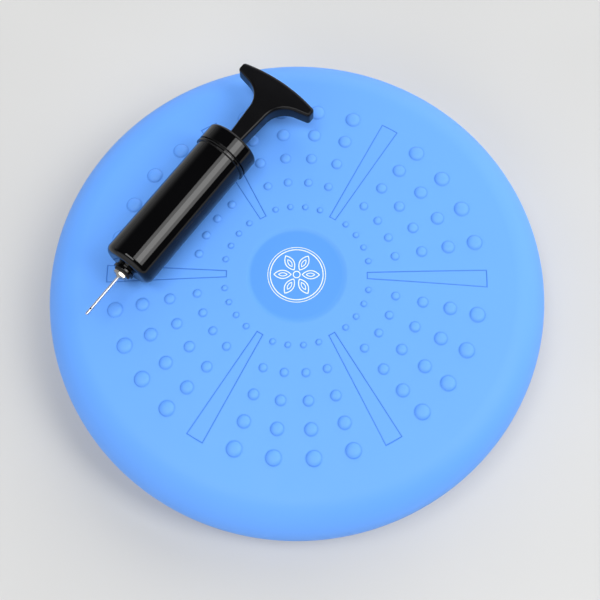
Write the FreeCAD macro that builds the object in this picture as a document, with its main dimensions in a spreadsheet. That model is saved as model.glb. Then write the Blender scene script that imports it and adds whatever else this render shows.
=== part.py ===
"""An inflatable wobble cushion with the hand pump that fills it, lying on top.

Millimetres, +Z up. The origin is the middle of the flat patch that the cushion stands on, and +X runs
along one of the six tapered panels. The pump's pieces are drawn upright, with Z running along the pump
from the needle's tip to the handle, and one placement then lays them all on the cushion.
"""
import FreeCAD, Part
import math
import os
import re

import Sketcher

# alias, value, what it is
DIMENSIONS = [
    # Cushion envelope
    ("cushion_diameter", 330.0, "outside diameter of the inflated cushion"),
    ("cushion_height", 60.5, "height of the top's centre above the floor"),
    ("rim_height", 30.0, "height of the widest line above the floor"),
    ("crown_radius", 2170.0, "radius of the shallow domes, top and bottom"),
    ("wall_thickness", 3.2, "thickness of the moulded vinyl wall"),
    ("disc_radius", 31.4, "radius of the smooth disc in the middle of the top"),
    ("disc_depth", 0.45, "depth of that disc below the crown"),
    ("panel_count", 6, "tapered panels round the top"),
    ("panel_start", 45.4, "inner radius of a panel"),
    ("panel_end", 122.7, "outer radius of a panel"),
    ("panel_angle", 5.3, "angle that a panel spans, degrees"),
    ("panel_depth", 0.4, "depth of a panel below the dome"),
    # Massage nubs
    ("nub_columns", 4, "nubs side by side between two panels"),
    ("nub_first_radius", 47.1, "distance of the first row from the middle"),
    ("nub_row_pitch", 17.8, "distance between rows"),
    ("nub_column_angle", 12.0, "angle between columns, degrees"),
    ("nub_first_width", 1.95, "foot radius of a nub in the first row"),
    ("nub_width_step", 0.77, "how much wider each next row is"),
    ("nub_first_rise", 0.9, "how far a nub in the first row stands up"),
    ("nub_rise_step", 0.2, "how much higher each next row is"),
    ("sole_first_rise", -0.5, "the same, for the nubs underneath"),
    ("sole_rise_step", 0.6, "how much further each next row underneath stands out"),
    # Inflation valve, in the underside
    ("valve_distance", 112.0, "distance of the valve from the middle, along -X"),
    ("boss_radius", 11.0, "radius of the thick pad round the valve"),
    ("boss_bottom", 3.8, "where the pad starts inside the wall"),
    ("boss_top", 8.5, "height of the pad's inner face"),
    ("socket_radius", 6.0, "outside radius of the valve socket"),
    ("socket_bottom", 3.0, "height of the socket's outer face"),
    ("socket_lip", 0.8, "thickness of the lip that keeps the core in"),
    ("socket_mouth", 2.4, "radius of the opening in that lip"),
    ("socket_top", 17.0, "height of the socket's inner end"),
    ("socket_flange_radius", 9.5, "radius of the flange inside the cushion"),
    ("socket_flange", 1.5, "thickness of that flange"),
    ("core_radius", 3.5, "radius of the rubber valve core"),
    ("core_top", 15.6, "height of the core's inner end"),
    ("core_bead_radius", 4.4, "radius of the bead round the core's inner end"),
    ("core_bead", 2.0, "length of that bead"),
    ("core_passage", 1.04, "radius of the passage that takes the needle"),
    ("press_gap", 0.03, "gap between two pieces that are pressed together"),
    # Where the pump lies
    ("pump_tip_x", -129.3, "where the needle's tip is"),
    ("pump_tip_y", -34.0, "where the needle's tip is"),
    ("pump_axis_height", 77.85, "height of the pump's axis above the floor"),
    ("pump_heading", 53.6, "direction from needle to handle, degrees from +X"),
    # Needle
    ("needle_radius", 1.0, "outside radius of the needle"),
    ("needle_bore", 0.6, "inside radius of the needle"),
    ("needle_nose", 0.8, "rounding of the needle's tip"),
    ("needle_tip_wall", 2.2, "length of the closed tip"),
    ("needle_eye", 4.5, "side hole, from the tip"),
    ("needle_eye_radius", 0.55, "radius of the side hole"),
    ("shank_start", 29.9, "end of the tube's full radius, just outside its base"),
    ("shank_radius", 0.82, "radius of the tube's end, reduced to fit the base"),
    ("needle_end", 36.0, "end of the tube, inside its base"),
    ("cone_start", 30.4, "front of the cone that holds the tube"),
    ("cone_radius", 1.7, "radius of that cone at its front"),
    ("hex_start", 31.4, "front face of the base's hexagon"),
    ("hex_end", 33.7, "back face of the hexagon"),
    ("hex_across_flats", 8.4, "width of the hexagon"),
    ("hex_bevel", 0.5, "height of the bevel on the hexagon's corners"),
    ("stem_radius", 3.9, "radius of the base's threaded stem"),
    ("stem_end", 43.3, "end of the threaded stem"),
    ("base_bore", 0.85, "radius of the bore that the tube is pressed into"),
    ("gasket_radius", 5.6, "outside radius of the rubber gasket"),
    ("gasket_gap", 0.05, "gap between the gasket and its neighbours"),
    # Barrel
    ("nozzle_start", 34.7, "end face of the nozzle"),
    ("nozzle_radius", 7.2, "radius of the nozzle"),
    ("nozzle_lip_end", 36.7, "end of the nozzle's lip"),
    ("nozzle_waist", 6.3, "radius of the nozzle behind its lip"),
    ("barrel_start", 38.4, "end face of the barrel"),
    ("barrel_radius", 17.5, "outside radius of the barrel"),
    ("barrel_edge", 4.6, "rounding of the barrel's closed end"),
    ("barrel_bore", 16.0, "inside radius of the barrel"),
    ("barrel_floor", 45.0, "inside face of the closed end"),
    ("hub_radius", 6.5, "radius of the hub that holds the outlet valve"),
    ("hub_end", 53.0, "top of that hub"),
    ("thread_radius", 4.0, "radius of the hole that takes the stem"),
    ("thread_end", 43.8, "bottom of that hole"),
    ("chamber_radius", 3.4, "radius of the outlet valve's chamber"),
    ("chamber_end", 51.2, "the outlet valve's seat"),
    ("port_radius", 1.3, "radius of the port through the seat"),
    ("band_start", 131.3, "start of the band round the barrel's mouth"),
    ("band_end", 133.4, "end of that band"),
    ("band_radius", 18.7, "radius of the band"),
    ("band_edge", 0.5, "bevel of the band's edges"),
    ("mouth_radius", 17.3, "radius of the barrel's thread, inside the collar"),
    ("barrel_end", 142.3, "open end of the barrel"),
    # Collar and rod guide
    ("collar_start", 134.3, "lower edge of the collar"),
    ("collar_end", 146.3, "top face of the collar"),
    ("collar_radius", 18.6, "outside radius of the collar"),
    ("collar_edge", 1.8, "rounding of the collar's top edge"),
    ("collar_bore", 17.4, "inside radius of the collar"),
    ("collar_roof", 143.5, "inside face of the collar's top"),
    ("collar_mouth", 6.4, "radius of the hole that the rod passes"),
    ("guide_start", 136.3, "lower end of the rod guide"),
    ("guide_radius", 15.9, "radius of the guide inside the barrel"),
    ("guide_flange_radius", 17.2, "radius of the guide's flange"),
    ("guide_gap", 0.15, "gap between the rod's cross and its guide"),
    # Plunger
    ("rod_start", 60.2, "lower end of the rod"),
    ("rod_end", 167.5, "upper end of the rod, inside the handle"),
    ("rod_width", 7.6, "width of the rod's cross"),
    ("rod_web", 2.4, "thickness of each web of the cross"),
    ("rod_core_radius", 3.2, "radius of the rod's solid lower end"),
    ("rod_core_end", 78.0, "end of that solid part"),
    ("pilot_end", 70.0, "bottom of the hole for the piston screw"),
    ("piston_start", 53.8, "working face of the piston"),
    ("piston_end", 62.4, "back of the piston"),
    ("piston_radius", 15.7, "radius of the piston"),
    ("piston_edge", 0.8, "bevel of the piston's edges"),
    ("groove_start", 56.4, "start of the piston's groove"),
    ("groove_end", 59.6, "end of that groove"),
    ("groove_radius", 13.0, "radius at the bottom of the groove"),
    ("seal_section", 1.4, "radius of the piston seal's section"),
    ("seal_gap", 0.08, "gap between the seal and the barrel"),
    ("screw_radius", 1.25, "radius of the piston screw's shank"),
    ("screw_point", 67.5, "where the screw's point begins"),
    ("screw_end", 69.5, "tip of the piston screw"),
    ("screw_head_radius", 3.0, "radius of the screw's head"),
    ("screw_head_start", 54.2, "outer face of the screw's head"),
    ("screw_head_end", 56.0, "underside of the screw's head"),
    ("screw_slot", 0.8, "width of the screw's cross recess"),
    ("screw_slot_length", 3.6, "length of each slot of the cross recess"),
    ("screw_slot_depth", 1.0, "depth of the cross recess"),
    ("bumper_end", 65.0, "top of the rubber bumper"),
    ("bumper_radius", 9.5, "outside radius of the bumper"),
    ("bumper_bore", 4.2, "inside radius of the bumper"),
    # Outlet valve
    ("retainer_end", 45.0, "top of the spring retainer"),
    ("retainer_hole", 1.2, "radius of the hole through the retainer"),
    ("spring_end", 49.3, "top of the outlet spring"),
    ("spring_radius", 2.3, "mean radius of the outlet spring"),
    ("spring_wire", 0.25, "radius of the spring's wire"),
    ("spring_pitch", 0.95, "pitch of the spring"),
    ("flap_pin_start", 48.0, "end of the pin that centres the spring"),
    ("flap_pin_radius", 1.5, "radius of that pin"),
    ("flap_start", 49.35, "face of the valve disc that the spring presses on"),
    ("flap_end", 51.15, "face of the valve disc that meets the seat"),
    ("flap_radius", 2.9, "radius of the valve disc"),
    # Handle, a flat T
    ("handle_start", 146.6, "foot of the handle's neck"),
    ("neck_width", 13.5, "width of the neck where it starts to flare"),
    ("neck_taper", 4.0, "how much each side of the neck leans, degrees"),
    ("flare_start", 171.2, "height of the centre of the flare under each arm"),
    ("flare_radius", 16.0, "radius of that flare"),
    ("arm_slope", 13.0, "slope of the underside of each arm, degrees"),
    ("arm_tip_radius", 2.2, "rounding of an arm's end, below"),
    ("arm_top_radius", 2.4, "rounding of an arm's end, above"),
    ("handle_span", 58.6, "length of the handle from arm to arm"),
    ("handle_end", 199.1, "top of the handle in the middle"),
    ("handle_crown", 114.0, "radius of the handle's curved top"),
    ("handle_thickness", 12.0, "thickness of the handle"),
    ("handle_edge", 2.0, "rounding of the handle's edges"),
    ("handle_socket_end", 167.7, "end of the socket in the neck"),
]
ALIASES = {row[0] for row in DIMENSIONS}
NUB_ROWS = 5
SOLE_FIRST_ROW = 2
FULL_TURN = 360.0

doc = FreeCAD.newDocument("wobble_cushion")
sheet = doc.addObject("Spreadsheet::Sheet", "dims")
pieces = []


# Dimensions and expressions

def fill_sheet():
    for row, (alias, value, note) in enumerate(DIMENSIONS, start=1):
        sheet.set(f"A{row}", note)
        sheet.set(f"B{row}", str(value))
        sheet.setAlias(f"B{row}", alias)
    doc.recompute()


def from_sheet(expression):
    """The expression with every alias written as a property's expression needs it, dims.alias."""
    return re.sub(r"[a-z]\w*", lambda word: dims_word(word.group()), str(expression))


def dims_word(word):
    return "dims." + word if word in ALIASES else word


def value(expression):
    """The number that an expression stands for."""
    found = sheet.evalExpression(from_sheet(expression))
    return float(getattr(found, "Value", found))


def bind(thing, name, expression):
    """Ties one property of a feature to the sheet."""
    thing.setExpression(name, from_sheet(expression))


# Bodies and sketches

def new_body(label):
    body = doc.addObject("PartDesign::Body", label)
    body.Label = label
    pieces.append(body)
    return body


def new_sketch(body, name, plane, height=None):
    """A sketch on one of the body's own origin planes, or raised above it by an expression."""
    sketch = body.newObject("Sketcher::SketchObject", name)
    support = next(f for f in body.Origin.OriginFeatures if f.Role == plane)
    sketch.AttachmentSupport = [(support, "")]
    sketch.MapMode = "FlatFace"
    if height is not None:
        bind(sketch, "AttachmentOffset.Base.z", height)
    return sketch


def pin_point(sketch, geometry, end, x, y):
    """Ties a point of the sketch to two expressions; a 0 keeps it on the axis."""
    for kind, axis, expression in (("DistanceX", -2, x), ("DistanceY", -1, y)):
        if expression == 0:
            sketch.addConstraint(Sketcher.Constraint("PointOnObject", geometry, end, axis))
        else:
            rule = Sketcher.Constraint(kind, -1, 1, geometry, end, value(expression))
            index = sketch.addConstraint(rule)
            bind(sketch, f"Constraints[{index}]", expression)


def pin_radius(sketch, geometry, radius):
    index = sketch.addConstraint(Sketcher.Constraint("Radius", geometry, value(radius)))
    bind(sketch, f"Constraints[{index}]", radius)


def arc_between(start, end, radius, turn):
    """The arc from start to end that bends left (turn 1) or right (turn -1)."""
    chord = end - start
    half = chord.Length / 2
    side = FreeCAD.Vector(-chord.y, chord.x, 0).normalize()
    centre = (start + end) * 0.5 + side * (turn * math.sqrt(radius * radius - half * half))
    ring = Part.Circle(centre, FreeCAD.Vector(0, 0, 1), radius)
    first, last = (start, end) if turn > 0 else (end, start)
    return Part.ArcOfCircle(ring, ring.parameter(first), ring.parameter(last))


def outline(body, name, plane, corners, height=None):
    """A closed outline. Each corner is (x, y), or (x, y, radius, turn) where an arc leads to the next."""
    sketch = new_sketch(body, name, plane, height)
    points = [FreeCAD.Vector(value(c[0]), value(c[1]), 0) for c in corners]
    count = len(corners)
    starts = []
    for i, corner in enumerate(corners):
        here, there = points[i], points[(i + 1) % count]
        if len(corner) == 2:
            sketch.addGeometry(Part.LineSegment(here, there))
        else:
            sketch.addGeometry(arc_between(here, there, value(corner[2]), corner[3]))
        starts.append(2 if len(corner) == 4 and corner[3] < 0 else 1)
    for i in range(count):
        following = (i + 1) % count
        rule = Sketcher.Constraint("Coincident", i, 3 - starts[i], following, starts[following])
        sketch.addConstraint(rule)
    for i, corner in enumerate(corners):
        pin_point(sketch, i, starts[i], corner[0], corner[1])
        if len(corner) == 4:
            pin_radius(sketch, i, corner[2])
    return sketch


def circle(body, name, plane, x, y, radius, height=None):
    sketch = new_sketch(body, name, plane, height)
    centre = FreeCAD.Vector(value(x), value(y), 0)
    sketch.addGeometry(Part.Circle(centre, FreeCAD.Vector(0, 0, 1), value(radius)))
    pin_point(sketch, 0, 3, x, y)
    pin_radius(sketch, 0, radius)
    return sketch


def cross(width, web):
    """The corners of an upright cross, anticlockwise, from its overall width and its web."""
    far = f"({width}) / 2"
    near = f"({web}) / 2"
    quarter = [(far, near), (near, near), (near, far)]
    corners = []
    for x_sign, y_sign, order in ((1, 1, 1), (-1, 1, -1), (-1, -1, 1), (1, -1, -1)):
        for x, y in quarter[::order]:
            corners.append((signed(x, x_sign), signed(y, y_sign)))
    return corners


def signed(expression, sign):
    return expression if sign > 0 else f"-({expression})"


# Features

def turned(body, kind, name, sketch, angle=FULL_TURN, midplane=False):
    """A Revolution or a Groove of the sketch about its own vertical axis."""
    feature = body.newObject("PartDesign::" + kind, name)
    feature.Profile = sketch
    feature.ReferenceAxis = (sketch, ["V_Axis"])
    feature.Midplane = midplane
    if angle == FULL_TURN:
        feature.Angle = FULL_TURN
    else:
        bind(feature, "Angle", angle)
    sketch.Visibility = False
    return feature


def pushed(body, kind, name, sketch, length, backwards=False, midplane=False):
    """A Pad or a Pocket of the sketch."""
    feature = body.newObject("PartDesign::" + kind, name)
    feature.Profile = sketch
    feature.Reversed = backwards
    feature.Midplane = midplane
    bind(feature, "Length", length)
    sketch.Visibility = False
    return feature


def cut(body, make):
    """Runs make, which adds a cutting feature, and checks that it did remove something."""
    doc.recompute()
    before = body.Shape.Volume
    feature = make()
    doc.recompute()
    if not body.Shape.Volume < before - 1e-6:
        raise RuntimeError(f"{body.Label}: {feature.Label} cuts nothing")
    return feature


def round_edges(body, name, kind, size, chosen):
    """A Fillet or a Chamfer of the edges of the body's newest feature for which chosen(edge) is true."""
    doc.recompute()
    base = body.Tip
    names = [f"Edge{i + 1}" for i, edge in enumerate(base.Shape.Edges) if chosen(edge)]
    if not names:
        raise RuntimeError(f"{body.Label}: {name} finds no edge")
    feature = body.newObject("PartDesign::" + kind, name)
    feature.Base = (base, names)
    bind(feature, "Radius" if kind == "Fillet" else "Size", size)
    body.Tip = feature
    return feature


def ring_edge(edge, height, radius):
    """Whether the edge is a full circle of that radius at that height."""
    curve = edge.Curve
    if not isinstance(curve, Part.Circle):
        return False
    return abs(curve.Radius - value(radius)) < 1e-4 and abs(curve.Center.z - value(height)) < 1e-4


def round_the_z(body, name, originals, steps):
    """Repeats features round the Z axis; steps holds (count, angle) pairs of expressions."""
    pattern = body.newObject("PartDesign::MultiTransform", name)
    pattern.Originals = originals
    axis = next(f for f in body.Origin.OriginFeatures if f.Role == "Z_Axis")
    turns = []
    for i, (count, angle) in enumerate(steps):
        turn = body.newObject("PartDesign::PolarPattern", f"{name}_{i}")
        turn.Axis = (axis, [""])
        bind(turn, "Angle", angle)
        bind(turn, "Occurrences", count)
        turns.append(turn)
    pattern.Transformations = turns
    body.Tip = pattern
    return pattern


# Cushion envelope

HALF = "(cushion_diameter / 2)"
RISE = "(cushion_height - rim_height)"
RIM = f"((2 * crown_radius * {RISE} - {RISE} * {RISE} - {HALF} * {HALF}) / (2 * (crown_radius - {HALF})))"
DOME_CENTRE = "(cushion_height - crown_radius)"
SOLE_CENTRE = "(2 * rim_height - cushion_height + crown_radius)"
PATCH = f"sqrt(crown_radius * crown_radius - {SOLE_CENTRE} * {SOLE_CENTRE})"


def dome_height(radius, depth="0"):
    """Height of the top dome, lowered by depth, at a distance from the middle."""
    ball = f"(crown_radius - ({depth}))"
    return f"({DOME_CENTRE} + sqrt({ball} * {ball} - ({radius}) * ({radius})))"


def shoulder(depth):
    """Where the dome runs into the rounded rim, depth below the outer skin: distance and rise."""
    reach = f"((crown_radius - {depth}) / (crown_radius - {RIM}))"
    return f"(({HALF} - {RIM}) * {reach})", f"(({RISE} - crown_radius) * (1 - {reach}))"


def skin_corners(disc):
    """The outer skin: flat patch, lower dome, rim, upper dome and the sunken disc in its middle."""
    reach, rise = shoulder("0")
    return [
        (PATCH, 0, "crown_radius", 1),
        (reach, f"rim_height - {rise}", RIM, 1),
        (reach, f"rim_height + {rise}", "crown_radius", 1),
        ("disc_radius + 0.6", dome_height("disc_radius + 0.6")),
        ("disc_radius - 0.6", disc),
        (0, disc),
        (0, 0),
    ]


def hollow_corners():
    """The inner skin, one wall thickness inside the outer one."""
    reach, rise = shoulder("wall_thickness")
    ball = "crown_radius - wall_thickness"
    return [
        (0, f"{SOLE_CENTRE} - ({ball})", ball, 1),
        (reach, f"rim_height - {rise}", f"{RIM} - wall_thickness", 1),
        (reach, f"rim_height + {rise}", ball, 1),
        (0, f"{DOME_CENTRE} + {ball}"),
    ]


def panel_corners():
    """A section through one tapered panel, from its floor to just above the dome."""
    floor = "crown_radius - panel_depth"
    clear = "cushion_height + 1"
    return [
        ("panel_end", dome_height("panel_end", "panel_depth")),
        ("panel_end", clear),
        ("panel_start", clear),
        ("panel_start", dome_height("panel_start", "panel_depth"), floor, -1),
    ]


def nub(body, name, row, rise, centre, side):
    """One round nub of a row: a ball sunk in the dome so that its cap stands rise above it."""
    foot = f"(nub_first_width + {row} * nub_width_step)"
    ball = f"(({foot} * {foot} + {rise} * {rise}) / (2 * {rise}))"
    distance = f"(nub_first_radius + {row} * nub_row_pitch)"
    reach = f"((crown_radius + {rise} - {ball}) / crown_radius)"
    height = f"sqrt(crown_radius * crown_radius - {distance} * {distance})"
    angle = "((180 / panel_count - 1.5 * nub_column_angle) * 1deg)"
    sphere = body.newObject("PartDesign::AdditiveSphere", name)
    plane = next(f for f in body.Origin.OriginFeatures if f.Role == "XY_Plane")
    sphere.AttachmentSupport = [(plane, "")]
    sphere.MapMode = "FlatFace"
    bind(sphere, "Radius", ball)
    bind(sphere, "AttachmentOffset.Base.x", f"{distance} * {reach} * cos({angle})")
    bind(sphere, "AttachmentOffset.Base.y", f"{distance} * {reach} * sin({angle})")
    bind(sphere, "AttachmentOffset.Base.z", f"{centre} {side} {height} * {reach}")
    return sphere


def make_envelope():
    """The hollow vinyl envelope, with its nubs, panels and the pad that holds the valve."""
    body = new_body("cushion_envelope")
    skin = outline(body, "skin_outline", "XZ_Plane", skin_corners("cushion_height - disc_depth"))
    turned(body, "Revolution", "skin", skin)
    doc.recompute()
    columns = ("nub_columns", "(nub_columns - 1) * nub_column_angle")
    sectors = ("panel_count", "360")
    for row in range(NUB_ROWS):
        rise = f"(nub_first_rise + {row} * nub_rise_step)"
        first = nub(body, f"nub_{row}", row, rise, DOME_CENTRE, "+")
        round_the_z(body, f"nubs_{row}", [first], [columns, sectors])
        doc.recompute()
    for row in range(SOLE_FIRST_ROW, NUB_ROWS):
        rise = f"(sole_first_rise + {row} * sole_rise_step)"
        first = nub(body, f"sole_nub_{row}", row, rise, SOLE_CENTRE, "-")
        round_the_z(body, f"sole_nubs_{row}", [first], [columns, sectors])
        doc.recompute()
    panel = outline(body, "panel_outline", "XZ_Plane", panel_corners())
    groove = cut(body, lambda: turned(body, "Groove", "panel", panel, "panel_angle", True))
    round_the_z(body, "panels", [groove], [sectors])
    hollow = outline(body, "hollow_outline", "XZ_Plane", hollow_corners())
    cut(body, lambda: turned(body, "Groove", "hollow", hollow))
    pad = circle(body, "boss_outline", "XY_Plane", "-valve_distance", 0, "boss_radius", "boss_bottom")
    pushed(body, "Pad", "boss", pad, "boss_top - boss_bottom")
    hole = circle(body, "valve_hole_outline", "XY_Plane", "-valve_distance", 0,
                  "socket_radius + press_gap")
    cut(body, lambda: pushed(body, "Pocket", "valve_hole", hole, "boss_top + 1", backwards=True))
    return body


# Inflation valve

def at_valve(body):
    bind(body, "Placement.Base.x", "-valve_distance")


def make_valve_socket():
    """The flanged tube that is pressed through the wall from inside."""
    body = new_body("valve_socket")
    foot = "boss_top + press_gap"
    bore = "core_radius + press_gap"
    shelf = "core_top - core_bead - press_gap"
    sketch = outline(body, "socket_outline", "XZ_Plane", [
        ("socket_mouth", "socket_bottom"),
        ("socket_radius", "socket_bottom"),
        ("socket_radius", foot),
        ("socket_flange_radius", foot),
        ("socket_flange_radius", f"{foot} + socket_flange"),
        ("socket_radius", f"{foot} + socket_flange + 0.6"),
        ("socket_radius", "socket_top"),
        ("core_bead_radius + press_gap", "socket_top"),
        ("core_bead_radius + press_gap", shelf),
        (bore, shelf),
        (bore, "socket_bottom + socket_lip"),
        ("socket_mouth", "socket_bottom + socket_lip"),
    ])
    turned(body, "Revolution", "socket", sketch)
    at_valve(body)


def make_valve_core():
    """The rubber core; its passage closes by itself when the needle is drawn out."""
    body = new_body("valve_core")
    foot = "socket_bottom + socket_lip + press_gap"
    sketch = outline(body, "core_outline", "XZ_Plane", [
        ("core_passage", f"{foot} + 0.5"),
        ("core_passage + 0.7", foot),
        ("core_radius", foot),
        ("core_radius", "core_top - core_bead"),
        ("core_bead_radius", "core_top - core_bead"),
        ("core_bead_radius", "core_top - 0.5"),
        ("core_bead_radius - 0.5", "core_top"),
        ("core_passage", "core_top"),
    ])
    turned(body, "Revolution", "core", sketch)
    at_valve(body)


# Needle

def lay_on_cushion(body):
    """Turns a piece drawn along Z so that it lies along the pump's axis."""
    base = "vector(pump_tip_x; pump_tip_y; pump_axis_height)"
    bind(body, "Placement", f"placement({base}; rotation(pump_heading + 90; 0; 90))")


def ring(label, inner, outer, start, end):
    """A plain ring or, with an inner radius of 0, a disc."""
    body = new_body(label)
    corners = [(inner, start), (outer, start), (outer, end), (inner, end)]
    turned(body, "Revolution", label + "_ring", outline(body, label + "_outline", "XZ_Plane", corners))
    lay_on_cushion(body)
    return body


def make_needle_tube():
    """The inflation needle: a closed, rounded tip and an eye in its side."""
    body = new_body("needle_tube")
    sketch = outline(body, "tube_outline", "XZ_Plane", [
        (0, 0),
        ("needle_radius - needle_nose", 0, "needle_nose", 1),
        ("needle_radius", "needle_nose"),
        ("needle_radius", "shank_start"),
        ("shank_radius", "shank_start + 0.2"),
        ("shank_radius", "needle_end"),
        ("needle_bore", "needle_end"),
        ("needle_bore", "needle_tip_wall"),
        (0, "needle_tip_wall"),
    ])
    turned(body, "Revolution", "tube", sketch)
    eye = circle(body, "eye_outline", "XZ_Plane", 0, "needle_eye", "needle_eye_radius")
    cut(body, lambda: pushed(body, "Pocket", "eye", eye, "needle_radius + 1"))
    lay_on_cushion(body)


def make_needle_base():
    """The plated base: a hexagon to turn it by, and a threaded stem that screws into the nozzle."""
    body = new_body("needle_base")
    half = "hex_across_flats / 2"
    low = f"({half} / sqrt(3))"
    high = "(hex_across_flats / sqrt(3))"
    hexagon = outline(body, "hex_outline", "XY_Plane", [
        (half, low),
        (0, high),
        (signed(half, -1), low),
        (signed(half, -1), signed(low, -1)),
        (0, signed(high, -1)),
        (half, signed(low, -1)),
    ], "hex_start")
    pushed(body, "Pad", "hexagon", hexagon, "hex_end - hex_start")
    for name, face, inward in (("front_bevel", "hex_start", "+"), ("back_bevel", "hex_end", "-")):
        bevel = outline(body, name + "_outline", "XZ_Plane", [
            (f"{half} - 0.2", face),
            (f"{high} + 0.2", face),
            (f"{high} + 0.2", f"{face} {inward} hex_bevel * 1.6"),
        ])
        cut(body, lambda: turned(body, "Groove", name, bevel))
    core = outline(body, "stem_outline", "XZ_Plane", [
        (0, "cone_start"),
        ("cone_radius", "cone_start"),
        (f"{half} - 0.9", "hex_start"),
        (f"{half} - 0.9", "hex_end"),
        ("stem_radius - 0.4", "hex_end"),
        ("stem_radius - 0.4", "hex_end + 1.4"),
        ("stem_radius", "hex_end + 1.8"),
        ("stem_radius", "stem_end - 0.5"),
        ("stem_radius - 0.5", "stem_end"),
        (0, "stem_end"),
    ])
    turned(body, "Revolution", "stem", core)
    bore = outline(body, "bore_outline", "XZ_Plane", [
        (0, "cone_start - 1"),
        ("base_bore", "cone_start - 1"),
        ("base_bore", "needle_end + press_gap"),
        ("needle_bore", "needle_end + press_gap"),
        ("needle_bore", "stem_end + 1"),
        (0, "stem_end + 1"),
    ])
    cut(body, lambda: turned(body, "Groove", "bore", bore))
    lay_on_cushion(body)


# Barrel and its mouth

def make_barrel():
    """The barrel, in one piece with its nozzle and with the hub that holds the outlet valve."""
    body = new_body("pump_barrel")
    sketch = outline(body, "barrel_outline", "XZ_Plane", [
        ("thread_radius", "nozzle_start"),
        ("nozzle_radius - 0.5", "nozzle_start"),
        ("nozzle_radius", "nozzle_start + 0.5"),
        ("nozzle_radius", "nozzle_lip_end"),
        ("nozzle_waist", "nozzle_lip_end + 0.5"),
        ("nozzle_waist", "barrel_start"),
        ("barrel_radius", "barrel_start"),
        ("barrel_radius", "band_start"),
        ("band_radius - band_edge", "band_start"),
        ("band_radius", "band_start + band_edge"),
        ("band_radius", "band_end - band_edge"),
        ("band_radius - band_edge", "band_end"),
        ("mouth_radius", "band_end"),
        ("mouth_radius", "barrel_end"),
        ("barrel_bore", "barrel_end"),
        ("barrel_bore", "barrel_floor"),
        ("hub_radius", "barrel_floor"),
        ("hub_radius", "hub_end"),
        ("port_radius", "hub_end"),
        ("port_radius", "chamber_end"),
        ("chamber_radius", "chamber_end"),
        ("chamber_radius", "thread_end"),
        ("thread_radius", "thread_end"),
    ])
    turned(body, "Revolution", "barrel", sketch)
    round_edges(body, "barrel_end_round", "Fillet", "barrel_edge",
                lambda edge: ring_edge(edge, "barrel_start", "barrel_radius"))
    lay_on_cushion(body)


def make_collar():
    """The screwed collar that closes the barrel and holds the rod guide down."""
    body = new_body("barrel_collar")
    sketch = outline(body, "collar_outline", "XZ_Plane", [
        ("collar_bore", "collar_start"),
        ("collar_radius - 0.3", "collar_start"),
        ("collar_radius", "collar_start + 0.3"),
        ("collar_radius", "collar_end"),
        ("collar_mouth", "collar_end"),
        ("collar_mouth", "collar_roof"),
        ("collar_bore", "collar_roof"),
    ])
    turned(body, "Revolution", "collar", sketch)
    round_edges(body, "collar_top_round", "Fillet", "collar_edge",
                lambda edge: ring_edge(edge, "collar_end", "collar_radius"))
    lay_on_cushion(body)


def make_rod_guide():
    """The guide in the barrel's mouth; its cross-shaped hole keeps the handle from turning, and
    is widened in the middle for the rod's solid end."""
    body = new_body("rod_guide")
    seat = "barrel_end + press_gap"
    sketch = outline(body, "guide_outline", "XZ_Plane", [
        (0, "guide_start"),
        ("guide_radius - 0.5", "guide_start"),
        ("guide_radius", "guide_start + 0.5"),
        ("guide_radius", seat),
        ("guide_flange_radius", seat),
        ("guide_flange_radius", "collar_roof - press_gap"),
        (0, "collar_roof - press_gap"),
    ])
    turned(body, "Revolution", "guide", sketch)
    hole = outline(body, "guide_hole_outline", "XY_Plane",
                   cross("rod_width + 2 * guide_gap", "rod_web + 2 * guide_gap"), "collar_roof")
    cut(body, lambda: pushed(body, "Pocket", "guide_hole", hole, "collar_roof - guide_start + 1"))
    middle = circle(body, "guide_middle_outline", "XY_Plane", 0, 0, "rod_core_radius + guide_gap",
                    "collar_roof")
    cut(body, lambda: pushed(body, "Pocket", "guide_middle", middle,
                             "collar_roof - guide_start + 1"))
    lay_on_cushion(body)


# Plunger

def make_rod():
    """The plunger's rod: a cross in section, solid at the end that the piston screws to."""
    body = new_body("plunger_rod")
    sketch = outline(body, "cross_outline", "XY_Plane", cross("rod_width", "rod_web"), "rod_start")
    pushed(body, "Pad", "cross", sketch, "rod_end - rod_start")
    core = circle(body, "core_outline", "XY_Plane", 0, 0, "rod_core_radius", "rod_start")
    pushed(body, "Pad", "core", core, "rod_core_end - rod_start")
    pilot = circle(body, "pilot_outline", "XY_Plane", 0, 0, "screw_radius + press_gap", "rod_start")
    cut(body, lambda: pushed(body, "Pocket", "pilot", pilot, "pilot_end - rod_start", backwards=True))
    lay_on_cushion(body)


def make_piston():
    """The piston, with a groove for its seal, a socket for the rod and a recess for the screw."""
    body = new_body("piston_head")
    sketch = outline(body, "piston_outline", "XZ_Plane", [
        ("screw_radius + press_gap", "screw_head_end + press_gap"),
        ("screw_head_radius + 0.1", "screw_head_end + press_gap"),
        ("screw_head_radius + 0.1", "piston_start"),
        ("piston_radius - piston_edge", "piston_start"),
        ("piston_radius", "piston_start + piston_edge"),
        ("piston_radius", "groove_start"),
        ("groove_radius", "groove_start"),
        ("groove_radius", "groove_end"),
        ("piston_radius", "groove_end"),
        ("piston_radius", "piston_end - piston_edge"),
        ("piston_radius - piston_edge", "piston_end"),
        ("bumper_bore", "piston_end"),
        ("bumper_bore", "rod_start - press_gap"),
        ("screw_radius + press_gap", "rod_start - press_gap"),
    ])
    turned(body, "Revolution", "piston", sketch)
    lay_on_cushion(body)


def make_piston_seal():
    """The rubber ring in the piston's groove."""
    body = new_body("piston_seal")
    middle = "(groove_start + groove_end) / 2"
    sketch = circle(body, "seal_outline", "XZ_Plane", "barrel_bore - seal_gap - seal_section", middle,
                    "seal_section")
    turned(body, "Revolution", "seal", sketch)
    lay_on_cushion(body)


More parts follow.
